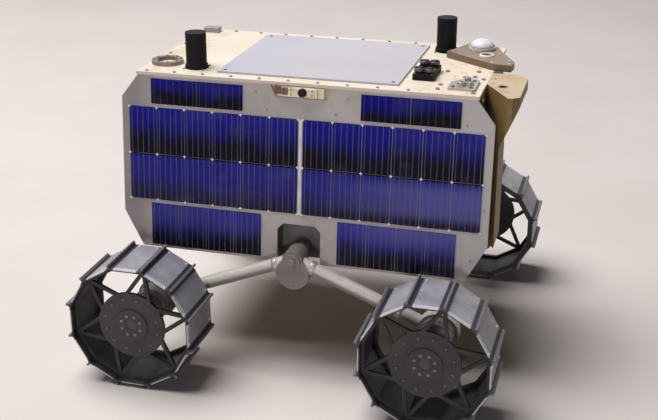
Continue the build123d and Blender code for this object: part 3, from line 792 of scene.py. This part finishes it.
# The near row stops short of the corner plate
NEAR_ROW_END = 0.17
REAR_SCREWS_Y = (-0.075, -0.025, 0.03, 0.08)
FRONT_SCREWS = ((0.168, -0.104), (0.168, -0.084), (0.1925, -0.044), (0.204, -0.038),
                (0.216, -0.047), (0.166, -0.020), (0.205, -0.012), (0.213, -0.112))
deck = Box("deck_plate")
screws = Piece("deck_screws", DULL)
step = (deck.high.x - deck.low.x - 2 * LONG_ROW_END) / (LONG_ROW_SCREWS - 1)
for i in range(LONG_ROW_SCREWS):
    x = deck.low.x + LONG_ROW_END + i * step
    if x <= NEAR_ROW_END:
        screws.screw(at(x, deck.low.y + EDGE_INSET, deck.high.z), *DECK_SCREW)
    screws.screw(at(x, deck.high.y - EDGE_INSET, deck.high.z), *DECK_SCREW)
for y in REAR_SCREWS_Y:
    screws.screw(at(deck.low.x + EDGE_INSET, y, deck.high.z), *DECK_SCREW)
for x, y in FRONT_SCREWS:
    screws.screw(at(x, y, deck.high.z), *FRONT_SCREW)
screws.finish()

# Deck connectors: four round shells with five pins each, on a flange with screws
SHELL = ((0.0062, -0.0045), (0.0067, -0.0040), (0.0067, -0.0010), (0.0058, 0.0), (0.0046, 0.0),
         (0.0046, -0.0008))
SHELL_X, SHELL_Y = 0.0065, 0.018
PIN = ((0.0007, -0.001), (0.0007, 0.0005), (0, 0.0007))
PIN_CIRCLE = 0.0024
FLANGE_TOP = 0.008
FLANGE_SCREW = (0.0013, 0.0008)
FLANGE_INSET_X, FLANGE_INSET_Y = 0.0025, 0.003
flange = Box("deck_connectors")
shells = Piece("connector_shells", DARK_STEEL)
pins = Piece("connector_pins", HUB_BOLT)
for x in (flange.mid.x - SHELL_X, flange.mid.x + SHELL_X):
    for y in (flange.mid.y - SHELL_Y, flange.mid.y + SHELL_Y):
        shells.lathe(at(x, y, flange.high.z), SHELL, steps=24)
        for dx, dy in (*around(4, PIN_CIRCLE), (0, 0)):
            pins.lathe(at(x + dx, y + dy, flange.high.z), PIN, steps=8)
for x in (flange.low.x + FLANGE_INSET_X, flange.high.x - FLANGE_INSET_X):
    for y in (flange.low.y + FLANGE_INSET_Y, flange.mid.y, flange.high.y - FLANGE_INSET_Y):
        pins.screw(at(x, y, flange.low.z + FLANGE_TOP), *FLANGE_SCREW, socket=False)
shells.finish()
pins.finish()

# Antennas: foot collar, two raised bands, four foot screws
COLLAR = ((0.0136, 0.0), (0.0148, 0.0), (0.0148, 0.0030), (0.0142, 0.0038), (0.0136, 0.0038))
BAND = ((0.0134, 0.0), (0.01385, 0.0003), (0.01385, 0.0009), (0.0134, 0.0012))
COLLAR_FOOT, BAND_HEIGHTS = 0.002, (0.0405, 0.0435)
FOOT_CIRCLE = 0.0182
FOOT_SCREW = (0.0018, 0.0012)
for end in ("rear", "front"):
    antenna = Box(end + "_antenna")
    x, y, foot = antenna.mid.x, antenna.mid.y, antenna.low.z
    collar = Piece(end + "_antenna_collar", BLACK, "black_plastic")
    collar.lathe(at(x, y, foot + COLLAR_FOOT), COLLAR, steps=40)
    for up in BAND_HEIGHTS:
        collar.lathe(at(x, y, foot + up), BAND, steps=40)
    collar.finish()
    screws = Piece(end + "_antenna_screws", HUB_BOLT)
    for dx, dy in around(4, FOOT_CIRCLE, 0.5):
        screws.screw(at(x + dx, y + dy, foot), *FOOT_SCREW)
    screws.finish()

# Deck ring
RING_CIRCLE = 0.0175
RING_SCREW = (0.0014, 0.0009)
ring = Box("deck_ring")
screws = Piece("ring_screws", DARK_STEEL)
for dx, dy in around(8, RING_CIRCLE, 0.5):
    screws.screw(at(ring.mid.x + dx, ring.mid.y + dy, ring.high.z), *RING_SCREW)
screws.finish()

# Corner plate: three screws, and three knobs by place, radius and height
CORNER_SCREW, CORNER_INSET, THIRD_SCREW_Y = (0.0024, 0.0012), 0.006, 0.037
corner_plate = Box("deck_corner_plate")
low, high = corner_plate.low, corner_plate.high
screws = Piece("corner_plate_screws", DARK_STEEL)
for x, y in ((low.x + CORNER_INSET, low.y + CORNER_INSET),
             (high.x - CORNER_INSET, low.y + CORNER_INSET),
             (high.x - CORNER_INSET, low.y + THIRD_SCREW_Y)):
    screws.screw(at(x, y, high.z), *CORNER_SCREW)
screws.finish()
knobs = Piece("corner_plate_knobs", RIM)
for x, y, radius, tall in ((low.x + 0.015, low.y + 0.014, 0.0052, 0.0050),
                           (low.x + 0.020, low.y + 0.032, 0.0040, 0.0062),
                           (high.x - 0.009, low.y + 0.020, 0.0036, 0.0040)):
    foot, well = radius + 0.0012, radius * 0.45
    profile = ((foot, 0.0), (foot, 0.0010), (radius, 0.0014), (radius, tall - 0.0006),
               (radius - 0.0006, tall), (well, tall), (well, tall - 0.0015), (0, tall - 0.0015))
    knobs.lathe(at(x, y, high.z), profile, steps=28)
knobs.finish()

# Sensor housing and dome
HOUSING_SCREWS = ((0.160, 0.053), (0.219, 0.006), (0.241, 0.004), (0.240, 0.018), (0.223, 0.052),
                  (0.209, 0.092), (0.180, 0.097))
HOUSING_SCREW = (0.0017, 0.0009)
PORT_PLACE = (0.2075, 0.0400)
PORT = ((0.0068, 0.0), (0.0068, 0.0014), (0.0074, 0.0020), (0.0092, 0.0020), (0.0100, 0.0012),
        (0.0102, 0.0))
PORT_GLASS = ((0.0068, 0.0), (0.0067, 0.0007), (0.0040, 0.0012), (0, 0.0014))
SEAM = ((0.0159, 0.0), (0.0168, 0.0), (0.0168, 0.0006), (0.0159, 0.0008))
SEAM_HEIGHT = 0.004
housing_top = Box("sensor_housing").high.z
screws = Piece("housing_screws", STEEL)
for x, y in HOUSING_SCREWS:
    screws.screw(at(x, y, housing_top), *HOUSING_SCREW)
screws.finish()
dome = Box("sensor_dome")
seam = Piece("dome_seam", DARK_STEEL)
seam.lathe(at(dome.mid.x, dome.mid.y, dome.low.z + SEAM_HEIGHT), SEAM, steps=48)
seam.finish()
port = Piece("housing_port", DOME, "pale_dome")
port.lathe(at(*PORT_PLACE, housing_top), PORT, steps=40)
port.finish()
glass = Piece("housing_port_glass", LENS, "lens")
glass.lathe(at(*PORT_PLACE, housing_top), PORT_GLASS, steps=32)
glass.finish()

# Horn: rim round the hole, screws at the root
HORN_HOLE_FROM_TIP, HORN_HOLE_Y = 0.026, -0.072
HORN_RIM = ((0.0051, -0.003), (0.0051, -0.0002), (0.0054, 0.0002), (0.0070, 0.0002),
            (0.0072, 0.0))
HORN_SCREW, HORN_ROOT_INSET = (0.0022, 0.0010), 0.007
HORN_SCREWS_Y = (-0.060, -0.040, -0.020)
horn = Box("horn_bracket")
rim = Piece("horn_rim", RIM)
rim.lathe(at(horn.high.x - HORN_HOLE_FROM_TIP, HORN_HOLE_Y, horn.high.z), HORN_RIM, steps=40)
rim.finish()
screws = Piece("horn_screws", STEEL)
for y in HORN_SCREWS_Y:
    screws.screw(at(horn.low.x + HORN_ROOT_INSET, y, horn.high.z), *HORN_SCREW)
screws.finish()

# End plates: three rows of screws, left out where the horn's leg covers them
PLATE_SCREWS_Y = (-0.097, -0.050, 0.0, 0.050, 0.097)
PLATE_SCREW = (0.0024, 0.0014)
LOW_ROW_INSET, MIDDLE_ROW_DROP, TOP_ROW_INSET = 0.007, 0.028, 0.008
HORN_LEG_LOW_Y, HORN_LEG_HIGH_Y = -0.07, 0.0
END_AXIS = {"front": "x", "rear": "-x"}
for end, sign in END_SIGN.items():
    plate = Box(end + "_end_plate")
    low_row = plate.low.z + LOW_ROW_INSET
    screws = Piece(end + "_end_plate_screws", STEEL)
    for z in (low_row, plate.mid.z - MIDDLE_ROW_DROP, plate.high.z - TOP_ROW_INSET):
        for y in PLATE_SCREWS_Y:
            by_leg = end == "front" and HORN_LEG_LOW_Y < y < HORN_LEG_HIGH_Y
            if z == low_row or not by_leg:
                screws.screw(at(plate.face(X, sign), y, z, END_AXIS[end]), *PLATE_SCREW)
    screws.finish()

# End cameras: glass of the twin lenses
LENS_SPACING = 0.022
LENS_FRONT = ((0.0056, -0.0008), (0.0050, 0.0), (0.0030, 0.0006), (0, 0.0008))
for end, sign in END_SIGN.items():
    twin = Box(end + "_camera")
    glass = Piece(end + "_camera_glass", LENS, "lens")
    for y in (twin.mid.y - LENS_SPACING, twin.mid.y + LENS_SPACING):
        glass.lathe(at(twin.face(X, sign), y, twin.mid.z, END_AXIS[end]), LENS_FRONT, steps=28)
    glass.finish()

# Rockers: cap and screws on the hub, clamps on the arms, screws and rings on the drives
PIVOT_CAP = ((0.0052, 0.0), (0.0052, 0.0018), (0.0044, 0.0026), (0, 0.0028))
CAP_CIRCLE, CAP_SCREW = 0.0080, (0.0012, 0.0009)
CAP_HEIGHT = 0.003
# Screws on the hub's plate: x, and height above the hub's foot
HUB_PLATE_SCREWS = ((-0.013, 0.022), (0.013, 0.022), (0.0, 0.006))
HUB_PLATE_SCREW = (0.0018, 0.0012)
CLAMP_DISTANCES = (0.026, 0.150)
CLAMP = ((0.0084, -0.0035), (0.0093, -0.0035), (0.0096, -0.0030), (0.0096, 0.0030),
         (0.0093, 0.0035), (0.0084, 0.0035))
CLAMP_SCREW_OUT, CLAMP_SCREW = 0.0094, (0.0014, 0.0010)
DRIVE_CIRCLE, DRIVE_SCREW = 0.021, (0.0018, 0.0012)
DRIVE_RING = ((0.0229, 0.0), (0.0236, 0.0004), (0.0236, 0.0018), (0.0229, 0.0022))
DRIVE_RING_PLACES = (0.010, 0.022, 0.034)


def arm_trim(side, end, pivot):
    name, s = side + "_" + end, SIDE_SIGN[side]
    hub_x = END_SIGN[end] * WHEEL_X
    arm = Box(name + "_arm")
    start = Vector((pivot.x, arm.mid.y, pivot.z))
    along = (Vector((hub_x, arm.mid.y, WHEEL_Z)) - start).normalized()
    clamps = Piece(name + "_arm_clamps", GREY)
    screws = Piece(name + "_arm_bolts", STEEL)
    for distance in CLAMP_DISTANCES:
        spot = start + along * distance
        clamps.lathe(along_ray(*spot, math.atan2(along.z, along.x)), CLAMP, steps=32)
        screws.screw(at(spot.x, spot.y + s * CLAMP_SCREW_OUT, spot.z, OUTWARD[side]),
                     *CLAMP_SCREW)
    clamps.finish()
    screws.finish()
    rings = Piece(name + "_drive_rings", DARK_STEEL)
    for dx, dz in around(8, DRIVE_CIRCLE, 0.5):
        rings.screw(at(hub_x + dx, arm.face(Y, -s), WHEEL_Z + dz, INWARD[side]), *DRIVE_SCREW)
    for out in DRIVE_RING_PLACES:
        y = arm.face(Y, s) + s * out
        rings.lathe(at(hub_x, y, WHEEL_Z, OUTWARD[side]), DRIVE_RING, steps=40)
    rings.finish()


def hub_trim(side, pivot):
    s, axis = SIDE_SIGN[side], OUTWARD[side]
    hub = Box(side + "_rocker_hub")
    face = hub.face(Y, s)
    screws = Piece(side + "_pivot_screws", HUB_BOLT)
    screws.lathe(at(pivot.x, face, pivot.z, axis), PIVOT_CAP, steps=24)
    for dx, dz in around(6, CAP_CIRCLE):
        screws.screw(at(pivot.x + dx, face, pivot.z + dz, axis), *CAP_SCREW)
    for x, up in HUB_PLATE_SCREWS:
        screws.screw(at(x, face - s * CAP_HEIGHT, hub.low.z + up, axis), *HUB_PLATE_SCREW)
    screws.finish()


# Wheels: hub and disc screws, and rivets on the flat plates
CAP_OVER_DISC = 0.002
HUB_CIRCLE, HUB_SCREW = 0.0135, (0.0019, 0.0010)
DISC_CIRCLE, DISC_SCREW = 0.036, (0.0019, 0.0013)
RIVET = ((0.0017, 0.0), (0.0015, 0.0006), (0.0008, 0.0010), (0, 0.0011))
RIVET_ROWS_Y, RIVET_OFFSETS = (0.2600, 0.1885), (-0.013, 0.013)
PLATE_CORNER_RADIUS = 0.084


def wheel_trim(side, end):
    body = side + "_" + end + "_wheel"
    s, axis = SIDE_SIGN[side], OUTWARD[side]
    hub_x = END_SIGN[end] * WHEEL_X
    face = Box(side + "_" + end + "_web").face(Y, s)
    bolts = Piece(body + "_bolts", HUB_BOLT, body=body)
    for dx, dz in around(8, HUB_CIRCLE, 0.5):
        bolts.screw(at(hub_x + dx, face, WHEEL_Z + dz, axis), *HUB_SCREW)
    bolts.finish()
    bolts = Piece(body + "_disc_bolts", DARK_STEEL, body=body)
    for dx, dz in around(12, DISC_CIRCLE, 0.5):
        bolts.screw(at(hub_x + dx, face - s * CAP_OVER_DISC, WHEEL_Z + dz, axis), *DISC_SCREW)
    bolts.finish()
    rivets = Piece(body + "_rivets", STEEL, "tread_metal", body)
    flat_r = PLATE_CORNER_RADIUS * math.cos(math.pi / FINS)
    for i, (dx, dz) in enumerate(around(FINS, flat_r)):
        a = 2 * math.pi * i / FINS
        for y in RIVET_ROWS_Y:
            for off in RIVET_OFFSETS:
                x = hub_x + dx - off * math.sin(a)
                z = WHEEL_Z + dz + off * math.cos(a)
                rivets.lathe(along_ray(x, s * y, z, a), RIVET, steps=10)
    rivets.finish()


for side in SIDE_SIGN:
    pivot = Box(side + "_pivot").mid
    hub_trim(side, pivot)
    for end in END_SIGN:
        arm_trim(side, end, pivot)
for side in SIDE_SIGN:
    for end in END_SIGN:
        wheel_trim(side, end)

# Floor, light and camera. Far from the rover the floor turns into the backdrop's colour
BACKDROP = (0.80, 0.77, 0.75, 1)
FADE_START, FADE_END = 2.2, 5.0


def floor_material():
    m = Net("studio_floor", (0.73, 0.68, 0.665), 0.9, edge=0.0, specular=0.0)
    m.tint(m.blotches(3, 0.3, 0.7, 4), (0.77, 0.72, 0.705))
    m.bump(m.noise(60), 0.002, 0.1)
    away = m.length(m.along(X), m.along(Y))
    m.tint(m.span(away, FADE_START, FADE_END), (0, 0, 0))
    m.value("Emission Color", BACKDROP)
    m.link(m.span(away, FADE_START, FADE_END, 0.0, 0.97), m.bsdf.inputs["Emission Strength"])
    return m.done()


def studio_world():
    """Faint grey light on the rover; the backdrop's colour for camera, mirror and glass rays."""
    world = bpy.data.worlds.new("studio")
    bpy.context.scene.world = world
    world.use_nodes = True
    tree = world.node_tree
    tree.nodes.clear()
    choice = tree.nodes.new("ShaderNodeMixShader")
    for i, color, strength in ((1, (0.84, 0.85, 0.90, 1), 0.02), (2, BACKDROP, 1.0)):
        light = tree.nodes.new("ShaderNodeBackground")
        light.inputs["Color"].default_value = color
        light.inputs["Strength"].default_value = strength
        tree.links.new(light.outputs[0], choice.inputs[i])
    path = tree.nodes.new("ShaderNodeLightPath")
    seen = path.outputs["Is Camera Ray"]
    for ray in ("Is Transmission Ray", "Is Glossy Ray"):
        either = tree.nodes.new("ShaderNodeMath")
        either.operation = "MAXIMUM"
        tree.links.new(seen, either.inputs[0])
        tree.links.new(path.outputs[ray], either.inputs[1])
        seen = either.outputs[0]
    tree.links.new(seen, choice.inputs[0])
    output = tree.nodes.new("ShaderNodeOutputWorld")
    tree.links.new(choice.outputs[0], output.inputs[0])


def aim(obj, place, target):
    obj.location = place
    obj.rotation_mode = "QUATERNION"
    obj.rotation_quaternion = (Vector(target) - Vector(place)).to_track_quat("-Z", "Y")


def lamp(name, place, target, size, watts, color):
    data = bpy.data.lights.new(name, "AREA")
    data.shape = "DISK"
    data.size = size
    data.energy = watts
    data.color = color
    obj = bpy.data.objects.new(name, data)
    bpy.context.scene.collection.objects.link(obj)
    aim(obj, place, target)


bpy.ops.mesh.primitive_plane_add(size=30)
floor = bpy.context.object
floor.name = "studio_floor"
floor.data.materials.append(floor_material())

studio_world()
lamp("key", (-1.6, -0.05, 4.5), (0, 0, 0.2), size=4.0, watts=288, color=(1.0, 0.975, 0.955))
lamp("fill", (0.36, -6.84, 0.34), (0, 0, 0.25), size=0.72, watts=91, color=(0.98, 0.97, 0.99))
lamp("back", (-0.4, 2.8, 1.8), (0, 0, 0.2), size=1.6, watts=3, color=(0.95, 0.97, 1.0))

camera_data = bpy.data.cameras.new("camera")
camera = bpy.data.objects.new("camera", camera_data)
bpy.context.scene.collection.objects.link(camera)
bpy.context.scene.camera = camera
aim(camera, (0.404, -1.452, 0.778), (0.018, -0.06, 0.1925))
camera_data.sensor_width = 36.0
camera_data.lens = 63.0
camera_data.clip_start = 0.05
bpy.context.scene.view_settings.view_transform = "Standard"
